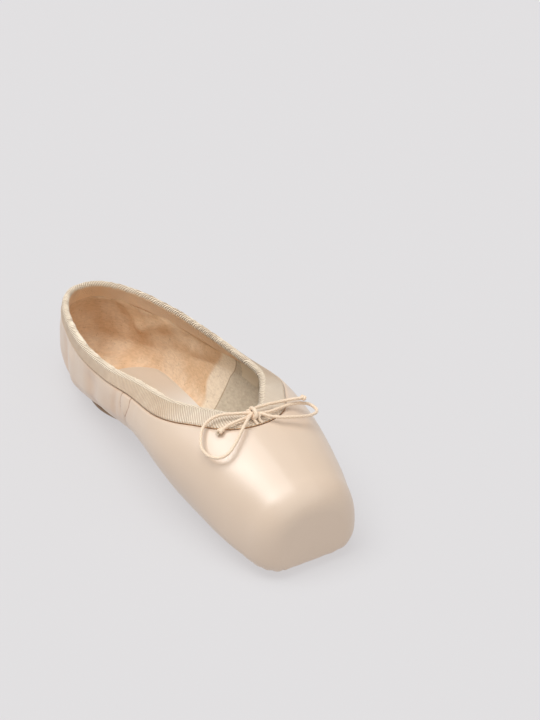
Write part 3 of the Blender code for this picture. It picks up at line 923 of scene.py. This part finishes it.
sock_shape = bmesh.new()
rows = []
outline = flat_outline(INSOLE_BACK, INSOLE_FRONT, INSOLE_ROUND, lambda a: 1.0, INSOLE_ROWS)
for along, _ in outline:
    share = max(end_round(along, INSOLE_BACK, INSOLE_FRONT, INSOLE_ROUND), INSOLE_END_SHARE)
    half = insole_row(along, share)
    full = [Vector((-p.x, p.y, p.z)) for p in reversed(half[1:])] + half
    rows.append([sock_shape.verts.new(p) for p in full])
lace(sock_shape, rows)
sock_shape.normal_update()
sock_shape.faces.ensure_lookup_table()
if sock_shape.faces[0].normal.z > 0:
    bmesh.ops.reverse_faces(sock_shape, faces=sock_shape.faces[:])
    sock_shape.normal_update()
for vert in sock_shape.verts:
    vert.co -= vert.normal * (WALL + CLEARANCE)
insole = add_piece("insole_sock", bmesh_to_mesh(sock_shape, "sock"), sock, "insole cloth", "insole")
thicken(insole, INSOLE_THICKNESS)
rounding = insole.modifiers.new("pared edge", "BEVEL")
rounding.width = 0.0006
rounding.segments = 2
rounding.limit_method = "ANGLE"
rounding.angle_limit = math.radians(50)


# The binding: cotton herringbone tape folded over the collar's edge, sewn down inside and out.
# Its fold carries the drawstring, so the edge stands up as a round bead with small gathers.
TAPE = 0.0007
BINDING_INSIDE = 0.007
BEAD_HEIGHT = 0.0026
BEAD_STEPS = 12
LEG_STEPS = 7
SKIN_STEPS = 3
SCALLOP = 0.00042
SCALLOP_RUN = 0.0034
RIB = 0.0015
TWILL = 0.0012
ROPE = 0.00030
BEAD_SLANT = 0.0045
TAPE_PALE = (0.76, 0.60, 0.43)
TAPE_DARK = (0.69, 0.52, 0.36)
TAPE_AT_THROAT = (0.90, 0.79, 0.64)
# Cream cotton, painted paler than the tape's legs as painted light on the bead.
BEAD_PAINTED_LIGHT_COTTON = (0.94, 0.80, 0.62)
# Dark lines: painted shade in the grooves between the bead's rope twists, and the twill's own lines
# on the legs.
GROOVE_SHADE_AND_TWILL = (0.42, 0.25, 0.13)
# Tan like the lining, painted lighter than that to stand in for light on the shaded inside of the
# collar.
INSIDE_LEG_PAINTED_LIGHT = (0.93, 0.63, 0.37)
PALE_FROM, PALE_TO = -0.046, -0.030


def down_the_skin(start, heading, distance):
    """A point on the upper's outside, a distance from another, and the way out there."""
    spot, normal, _, _ = skin_tree.find_nearest(start)
    for _ in range(SKIN_STEPS):
        heading = (heading - normal * heading.dot(normal)).normalized()
        spot, normal, _, _ = skin_tree.find_nearest(spot + heading * distance / SKIN_STEPS)
    return spot, normal


def tape_section(edge, heading, scallop, run):
    """One section of the tape: outside leg, corded bead over the edge, inside leg, and back."""
    outer, inner = TAPE + CLEARANCE, -(WALL + CLEARANCE + TAPE)
    depth = binding_depth(LENGTH / 2 - edge.y)
    shares = [1.0 - i / LEG_STEPS for i in range(LEG_STEPS)]
    outside = [down_the_skin(edge, heading, depth * share) for share in shares]
    inside = [down_the_skin(edge, heading, BINDING_INSIDE * share) for share in reversed(shares)]
    _, normal, _, _ = skin_tree.find_nearest(edge + heading * CLEARANCE)
    middle = edge - normal * (WALL / 2) - heading * CLEARANCE
    radius = WALL / 2 + CLEARANCE + TAPE
    bead = []
    for i in range(BEAD_STEPS + 1):
        turn = math.pi * i / BEAD_STEPS
        phase = 2 * math.pi * (run + BEAD_SLANT * i / BEAD_STEPS) / RIB
        twist = ROPE * math.sin(phase) * math.sin(turn)
        height = (BEAD_HEIGHT + scallop + twist) * math.sin(turn)
        out = (radius + 0.5 * scallop + twist) * math.cos(turn)
        bead.append(middle + normal * out - heading * height)
    points = [p + n * outer for p, n in outside] + bead + [p + n * inner for p, n in inside]
    points += [p + n * (inner + TAPE) for p, n in reversed(inside)]
    points.append(edge - normal * (WALL + CLEARANCE) - heading * CLEARANCE)
    points.append(edge + normal * CLEARANCE - heading * CLEARANCE)
    points += [p + n * CLEARANCE for p, n in reversed(outside)]
    return points


tape_shape = bmesh.new()
tape_map = tape_shape.loops.layers.uv.new("UVMap")
rings = []
for i, edge in enumerate(collar_edge):
    tangent = (collar_edge[(i + 1) % len(collar_edge)] - collar_edge[i - 1]).normalized()
    normal = skin_tree.find_nearest(edge)[1]
    run = collar_run[i]
    gather = noise.noise(Vector((run / SCALLOP_RUN, 0.4, 2.2)))
    gather += 0.4 * noise.noise(Vector((run / SCALLOP_RUN * 2.3, 5.1, 0.7)))
    rings.append(tape_section(edge, normal.cross(tangent).normalized(), SCALLOP * gather, run))
size = len(rings[0])
verts = [[tape_shape.verts.new(p) for p in ring] for ring in rings]
reaches = []
for ring in rings:
    reach = [0.0]
    for k in range(size):
        reach.append(reach[-1] + (ring[(k + 1) % size] - ring[k]).length)
    reaches.append([value - reach[LEG_STEPS] for value in reach])
for i in range(len(rings)):
    n = (i + 1) % len(rings)
    start, stop = collar_run[i], collar_run[i] + COLLAR_SPACING
    for k in range(size):
        m = (k + 1) % size
        face = tape_shape.faces.new([verts[i][k], verts[i][m], verts[n][m], verts[n][k]])
        corners = (
            (start, reaches[i][k]), (start, reaches[i][k + 1]),
            (stop, reaches[n][k + 1]), (stop, reaches[n][k]),
        )
        for loop, corner in zip(face.loops, corners):
            loop[tape_map].uv = corner
bmesh.ops.recalc_face_normals(tape_shape, faces=tape_shape.faces[:])

tape = Finish("herringbone tape", (0.80, 0.66, 0.48), Roughness=0.7, Sheen_Weight=0.25)
round_collar, over_edge, _ = tape.split(tape.place("UV"))
BEAD_LENGTH = reaches[0][LEG_STEPS + BEAD_STEPS]
rope = tape.wave((round_collar + over_edge * (BEAD_SLANT / BEAD_LENGTH)) / RIB)
rope = tape.step(rope, 0.02, 0.55)
twill = tape.wave((round_collar - over_edge * 0.6) / TWILL)
past_bead = tape.step(over_edge, BEAD_LENGTH - 0.0008, BEAD_LENGTH)
on_bead = tape.step(over_edge, 0.0, 0.0006) * (1.0 - past_bead)
inside_leg = tape.step(over_edge, BEAD_LENGTH - 0.0016, BEAD_LENGTH)
rib = (rope * 1.7 - 0.6) * on_bead + (twill * 0.9 + 0.1) * (1.0 - on_bead)
cloud = tape.noise(tape.place(), 0.006, 3.0)
cotton = tape.mix(tape.step(cloud, 0.3, 0.7), TAPE_PALE, TAPE_DARK)
near_throat = 1.0 - tape.step(tape.split(tape.place())[1], PALE_FROM, PALE_TO)
cotton = tape.mix(near_throat * 0.8, cotton, TAPE_AT_THROAT)
# Painted light: the bead is painted paler than the rest of the same tape.
cotton = tape.mix(on_bead, cotton, BEAD_PAINTED_LIGHT_COTTON)
# On the bead the dark lines are painted shade in the rope's grooves; on the legs they draw the
# twill.
outside = tape.mix(rib, tape.mix(0.58, cotton, GROOVE_SHADE_AND_TWILL), cotton)
# The inside leg gets the lining's tan, painted lighter as painted light.
tape.wear(Base_Color=tape.mix(inside_leg, outside, INSIDE_LEG_PAINTED_LIGHT))
tape.bump(rib, 0.00040)
add_piece("collar_tape", bmesh_to_mesh(tape_shape, "tape"), tape, "binding tape", "collar_binding")


# The seam that holds the tape down: a row of short thread stitches just above its lower edge.
# One stitch is repeated round the whole collar by a node group.
STITCH_PITCH = 0.0022
STITCH_LENGTH = 0.0014
STITCH_THICKNESS = 0.00030

thread = Finish("sewing thread", (0.72, 0.52, 0.35), Roughness=0.6)
seam_line = [ring[0].lerp(ring[1], 0.55) for ring in rings]
seam_mesh = bpy.data.meshes.new("seam line")
seam_count = len(seam_line)
seam_mesh.from_pydata(seam_line, [(i, (i + 1) % seam_count) for i in range(seam_count)], [])
stitches = bpy.data.objects.new("tape_stitches", seam_mesh)
bpy.context.collection.objects.link(stitches)
sewing = bpy.data.node_groups.new("row of stitches", "GeometryNodeTree")
sewing.interface.new_socket("Geometry", in_out="INPUT", socket_type="NodeSocketGeometry")
pitch = sewing.interface.new_socket("Pitch", in_out="INPUT", socket_type="NodeSocketFloat")
stitch_size = sewing.interface.new_socket("Size", in_out="INPUT", socket_type="NodeSocketVector")
sewing.interface.new_socket("Geometry", in_out="OUTPUT", socket_type="NodeSocketGeometry")
given = sewing.nodes.new("NodeGroupInput")
line = sewing.nodes.new("GeometryNodeMeshToCurve")
places = sewing.nodes.new("GeometryNodeCurveToPoints")
places.mode = "LENGTH"
stitch = sewing.nodes.new("GeometryNodeMeshUVSphere")
stitch.inputs["Segments"].default_value = 6
stitch.inputs["Rings"].default_value = 5
stitch.inputs["Radius"].default_value = 0.5
copies = sewing.nodes.new("GeometryNodeInstanceOnPoints")
real = sewing.nodes.new("GeometryNodeRealizeInstances")
coloured = sewing.nodes.new("GeometryNodeSetMaterial")
coloured.inputs["Material"].default_value = thread.material
made = sewing.nodes.new("NodeGroupOutput")
for source, target in (
    (given.outputs["Geometry"], line.inputs["Mesh"]),
    (line.outputs["Curve"], places.inputs["Curve"]),
    (given.outputs["Pitch"], places.inputs["Length"]),
    (places.outputs["Points"], copies.inputs["Points"]),
    (stitch.outputs["Mesh"], copies.inputs["Instance"]),
    (places.outputs["Rotation"], copies.inputs["Rotation"]),
    (given.outputs["Size"], copies.inputs["Scale"]),
    (copies.outputs["Instances"], real.inputs["Geometry"]),
    (real.outputs["Geometry"], coloured.inputs["Geometry"]),
    (coloured.outputs["Geometry"], made.inputs["Geometry"]),
):
    sewing.links.new(source, target)
rows_of_stitches = stitches.modifiers.new("sewing", "NODES")
rows_of_stitches.node_group = sewing
rows_of_stitches[pitch.identifier] = STITCH_PITCH
rows_of_stitches[stitch_size.identifier] = (STITCH_THICKNESS, STITCH_THICKNESS, STITCH_LENGTH)
bpy.context.view_layer.update()
sewn = bpy.data.meshes.new_from_object(
    stitches.evaluated_get(bpy.context.evaluated_depsgraph_get()))
stitches.modifiers.remove(rows_of_stitches)
stitches.data = sewn
sewn.shade_smooth()
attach(stitches, "root")


# The drawstring: one round braided cotton cord in the tape's fold. Both its ends come out at
# the throat and are tied in a bow. Each end then forms a loop, goes back through the knot and
# stops in a small knot of its own; the near end's knot has a frayed tip.
CORD = 0.0015
CORD_SIDES = 14
CORD_STEP = 0.0004
STRANDS = 4.0
PLAIT = 0.0024
CORD_SHADE = (0.80, 0.61, 0.44)
CORD_COTTON = (0.92, 0.78, 0.61)
KNOT_AT = (-0.0018, 0.1823, 0.0570)
FROM_CASING_NEAR = (
    (-0.0020, 0.1872, 0.0536), (-0.0026, 0.1852, 0.0552), (-0.0022, 0.1826, 0.0570),
)
LOOP_NEAR = (
    (-0.0048, 0.1808, 0.0572), (-0.0094, 0.1784, 0.0571), (-0.0142, 0.1757, 0.0567),
    (-0.0192, 0.1744, 0.0555), (-0.0238, 0.1755, 0.0536), (-0.0274, 0.1791, 0.0515),
    (-0.0300, 0.1840, 0.0492), (-0.0302, 0.1889, 0.0481), (-0.0288, 0.1924, 0.0479),
    (-0.0261, 0.1953, 0.0486), (-0.0222, 0.1958, 0.0504), (-0.0178, 0.1939, 0.0529),
    (-0.0129, 0.1906, 0.0553), (-0.0089, 0.1877, 0.0568), (-0.0051, 0.1846, 0.0573),
)
END_FAR = (
    (0.0009, 0.1800, 0.0575), (0.0042, 0.1797, 0.0573), (0.0084, 0.1794, 0.0570),
    (0.0130, 0.1797, 0.0566), (0.0178, 0.1801, 0.0563), (0.0222, 0.1808, 0.0560),
    (0.0249, 0.1811, 0.0557),
)
FROM_CASING_FAR = ((0.0006, 0.1872, 0.0536), (-0.0004, 0.1856, 0.0552))
LOOP_FAR = (
    (0.0012, 0.1845, 0.0568), (0.0042, 0.1876, 0.0563), (0.0082, 0.1901, 0.0557),
    (0.0128, 0.1913, 0.0549), (0.0180, 0.1919, 0.0537), (0.0238, 0.1911, 0.0520),
    (0.0288, 0.1887, 0.0508), (0.0302, 0.1856, 0.0509), (0.0284, 0.1822, 0.0520),
    (0.0232, 0.1808, 0.0533), (0.0180, 0.1813, 0.0543), (0.0120, 0.1826, 0.0552),
    (0.0066, 0.1834, 0.0557), (0.0019, 0.1830, 0.0561),
)
END_NEAR = (
    (-0.0052, 0.1827, 0.0560), (-0.0084, 0.1828, 0.0560), (-0.0118, 0.1826, 0.0555),
    (-0.0150, 0.1824, 0.0548), (-0.0178, 0.1824, 0.0538),
)


def smooth_path(route, step):
    """Points about a step apart on a smooth curve through the route's own points."""
    points = [Vector((x, LENGTH / 2 - along, z)) for x, along, z in route]
    path = [points[0]]
    for i in range(len(points) - 1):
        before = points[max(i - 1, 0)]
        after = points[min(i + 2, len(points) - 1)]
        start, stop = points[i], points[i + 1]
        pieces = max(1, round((stop - start).length / step))
        for j in range(1, pieces + 1):
            t = j / pieces
            path.append(
                0.5 * (2 * start + (stop - before) * t
                       + (2 * before - 5 * start + 4 * stop - after) * t * t
                       + (3 * start - before - 3 * stop + after) * t ** 3)
            )
    return path


def tube_mesh(name, path, radius, sides):
    """A round tube along a path, closed at its ends, with a UV map in metres."""
    shape = bmesh.new()
    layer = shape.loops.layers.uv.new("UVMap")
    heading = (path[1] - path[0]).normalized()
    frame_x = heading.orthogonal().normalized()
    rings, runs, run = [], [], 0.0
    for i, centre in enumerate(path):
        ahead = (path[min(i + 1, len(path) - 1)] - path[max(i - 1, 0)]).normalized()
        frame_x = (frame_x - ahead * frame_x.dot(ahead)).normalized()
        frame_y = ahead.cross(frame_x)
        ring = []
        for k in range(sides):
            turn = 2 * math.pi * k / sides
            out = frame_x * math.cos(turn) + frame_y * math.sin(turn)
            ring.append(shape.verts.new(centre + out * radius))
        run += (centre - path[max(i - 1, 0)]).length
        rings.append(ring)
        runs.append(run)
    for i in range(len(rings) - 1):
        for k in range(sides):
            n = (k + 1) % sides
            face = shape.faces.new([rings[i][k], rings[i][n], rings[i + 1][n], rings[i + 1][k]])
            wide = 2 * math.pi * radius / sides
            corners = ((runs[i], k), (runs[i], k + 1), (runs[i + 1], k + 1), (runs[i + 1], k))
            for loop, (along, side) in zip(face.loops, corners):
                loop[layer].uv = (along, side * wide)
    for ring, end in ((rings[0], path[0]), (rings[-1], path[-1])):
        tip = shape.verts.new(end)
        for k in range(sides):
            shape.faces.new([ring[k], ring[(k + 1) % sides], tip])
    bmesh.ops.recalc_face_normals(shape, faces=shape.faces[:])
    return bmesh_to_mesh(shape, name)


def path_length(path):
    """How long a path is."""
    return sum((b - a).length for a, b in zip(path, path[1:]))


cord = Finish("drawstring cotton", (0.80, 0.62, 0.45), Roughness=0.6, Sheen_Weight=0.3)
along_cord, round_cord, _ = cord.split(cord.place("UV"))
round_share = round_cord * (STRANDS / (math.pi * CORD))
braid = cord.wave(along_cord / PLAIT + round_share) * cord.wave(along_cord / PLAIT - round_share)
cord.wear(Base_Color=cord.mix(braid, CORD_SHADE, CORD_COTTON))
cord.bump(braid, 0.00006)

near_path = smooth_path(FROM_CASING_NEAR + LOOP_NEAR + (KNOT_AT,) + END_FAR, CORD_STEP)
far_path = smooth_path(FROM_CASING_FAR + LOOP_FAR + (KNOT_AT,) + END_NEAR, CORD_STEP)
near_cord = add_piece(
    "drawstring_near", tube_mesh("near cord", near_path, CORD / 2, CORD_SIDES), cord,
    "drawstring cord", "drawstring_loop_near", "drawstring_end_far")
far_cord = add_piece(
    "drawstring_far", tube_mesh("far cord", far_path, CORD / 2, CORD_SIDES), cord,
    "drawstring cord", "drawstring_loop_far", "drawstring_end_near")


# The bow's knot: the near cord's turn round both loops, drawn tight.
# It is a short coil whose two ends tuck in under its middle.
WRAP_POINTS = 60
WRAP_START = 2.4
WRAP_TURNS = 1.45
WRAP_RADIUS = (0.0031, 0.0018)
WRAP_LENGTH = 0.0024
WRAP_CORD = 0.00092
wrap_points = []
for i in range(WRAP_POINTS):
    share = i / (WRAP_POINTS - 1)
    turn = 2 * math.pi * WRAP_TURNS * share + WRAP_START
    tuck = 1.0 - 0.55 * smooth_step((abs(share - 0.5) - 0.38) / 0.12)
    wrap_points.append((
        KNOT_AT[0] + WRAP_LENGTH * (share - 0.5) + 0.0004 * math.sin(turn),
        KNOT_AT[1] + WRAP_RADIUS[0] * tuck * math.cos(turn),
        KNOT_AT[2] + WRAP_RADIUS[1] * tuck * math.sin(turn),
    ))
bow_knot = add_piece(
    "bow_knot", tube_mesh("bow knot", smooth_path(wrap_points, CORD_STEP), WRAP_CORD, CORD_SIDES),
    cord, "drawstring cord", "drawstring_knot")


# The end knots: an overhand knot drawn tight at each end of the cord.
# Each follows the last direction of its cord.
KNOT_SCALE = 0.00036
KNOT_STEPS = 96
KNOT_AHEAD = 0.0012


def end_knot(name, path, node):
    """An overhand knot just past the end of a cord's path, turned to follow it."""
    ahead = (path[-1] - path[-4]).normalized()
    turn = ahead.to_track_quat("Y", "Z").to_matrix().to_4x4()
    centre = path[-1] + ahead * KNOT_AHEAD
    points = []
    for i in range(KNOT_STEPS + 1):
        t = 2 * math.pi * i / KNOT_STEPS
        local = Vector((
            math.sin(t) + 2 * math.sin(2 * t), math.cos(t) - 2 * math.cos(2 * t), -math.sin(3 * t),
        ))
        points.append(centre + turn @ (local * KNOT_SCALE))
    mesh = tube_mesh(name, points, CORD / 2, CORD_SIDES)
    return add_piece(name, mesh, cord, "drawstring cord", node)


near_tip = end_knot("tip_knot_far", near_path, "end_knot_far")
far_tip = end_knot("tip_knot_near", far_path, "end_knot_near")


# The frayed tip: the cord's own threads, spread out of the near end's knot.
# Each thread is a thin three-sided spike.
TUFT_THREADS = 34
TUFT_LENGTH = 0.0021
TUFT_SPREAD = 0.65
TUFT_THICKNESS = 0.00009
TUFT_AHEAD = 0.0024
TUFT_ROOT = 0.0008
THREAD_CORNERS = (2.1, 4.2)
frayed = Finish("frayed cotton", (0.86, 0.74, 0.58), Roughness=0.8)
tip_heading = (far_path[-1] - far_path[-4]).normalized()
tuft_start = far_path[-1] + tip_heading * TUFT_AHEAD
tuft = bmesh.new()
for i in range(TUFT_THREADS):
    spots = ((i * 1.7, 0.3, 4.1), (i * 2.3, 7.7, 1.2), (i * 1.1, 3.9, 8.6))
    lean = Vector([noise.noise(Vector(spot)) for spot in spots])
    heading = (tip_heading + lean * 2.0 * TUFT_SPREAD).normalized()
    aside = heading.orthogonal().normalized()
    corners = [aside] + [Matrix.Rotation(turn, 3, heading) @ aside for turn in THREAD_CORNERS]
    root = tuft_start + lean * TUFT_ROOT
    stop = root + heading * TUFT_LENGTH * (0.7 + 0.5 * abs(lean.x))
    base = [tuft.verts.new(root + c * TUFT_THICKNESS) for c in corners]
    top = [tuft.verts.new(stop + c * TUFT_THICKNESS * 0.5) for c in corners]
    for k in range(3):
        tuft.faces.new([base[k], base[(k + 1) % 3], top[(k + 1) % 3], top[k]])
    tuft.faces.new(base[::-1])
    tuft.faces.new(top)
bmesh.ops.recalc_face_normals(tuft, faces=tuft.faces[:])
fray = add_piece("frayed_tip_near", bmesh_to_mesh(tuft, "tuft"), frayed, "drawstring cord")

path_length(near_path)
path_length(far_path)


# The studio: a plain pale floor under a wide soft light, and a camera where the photo's was.
FLOOR_HALF = 12.0
PAPER = (0.18, 0.18, 0.18)
PAPER_GLOW = (0.530, 0.517, 0.526, 1.0)
SKY_STRENGTH = 0.40
floor_mesh = bpy.data.meshes.new("floor")
floor_mesh.from_pydata(
    [(-FLOOR_HALF, -FLOOR_HALF, 0), (FLOOR_HALF, -FLOOR_HALF, 0), (FLOOR_HALF, FLOOR_HALF, 0),
     (-FLOOR_HALF, FLOOR_HALF, 0)], [], [(0, 1, 2, 3)])
paper = Finish(
    "backdrop paper", PAPER, Roughness=0.9, Specular_IOR_Level=0.0,
    Emission_Color=PAPER_GLOW, Emission_Strength=1.0)
floor = bpy.data.objects.new("floor", floor_mesh)
floor_mesh.materials.append(paper.material)
bpy.context.collection.objects.link(floor)

world = bpy.data.worlds.new("studio")
bpy.context.scene.world = world
world.use_nodes = True
sky = world.node_tree.nodes["Background"].inputs
sky["Color"].default_value = (1.0, 1.0, 1.0, 1.0)
sky["Strength"].default_value = SKY_STRENGTH


def soft_light(name, direction, strength, angle):
    """A distant light as wide as a soft box, from a direction."""
    light = bpy.data.lights.new(name, "SUN")
    light.energy = strength
    light.angle = math.radians(angle)
    lamp = bpy.data.objects.new(name, light)
    lamp.rotation_euler = Vector(direction).to_track_quat("Z", "Y").to_euler()
    bpy.context.collection.objects.link(lamp)


soft_light("overhead box", (-0.18, 0.10, 0.98), 1.60, 50)
soft_light("side window", (-0.43, 0.18, 0.88), 0.80, 36)
soft_light("front fill", (0.10, -0.65, 0.75), 0.62, 70)

CAMERA_AZIMUTH = math.radians(-31.843)
CAMERA_ELEVATION = math.radians(30.751)
CAMERA_DISTANCE = 0.92066
CAMERA_ASIDE = 0.04132
CAMERA_UP = 0.04393
CAMERA_LENS = 92.3
back = Vector((
    math.sin(CAMERA_AZIMUTH) * math.cos(CAMERA_ELEVATION),
    -math.cos(CAMERA_AZIMUTH) * math.cos(CAMERA_ELEVATION),
    math.sin(CAMERA_ELEVATION),
))
right = Vector((math.cos(CAMERA_AZIMUTH), math.sin(CAMERA_AZIMUTH), 0.0))
camera_data = bpy.data.cameras.new("camera")
camera_data.lens = CAMERA_LENS
camera_data.sensor_width = 36.0
camera = bpy.data.objects.new("camera", camera_data)
camera.matrix_world = Matrix.Translation(
    back * CAMERA_DISTANCE + right * CAMERA_ASIDE + back.cross(right) * CAMERA_UP
) @ Matrix((right, back.cross(right), back)).transposed().to_4x4()
bpy.context.collection.objects.link(camera)
bpy.context.scene.camera = camera
bpy.context.scene.view_settings.view_transform = "Standard"
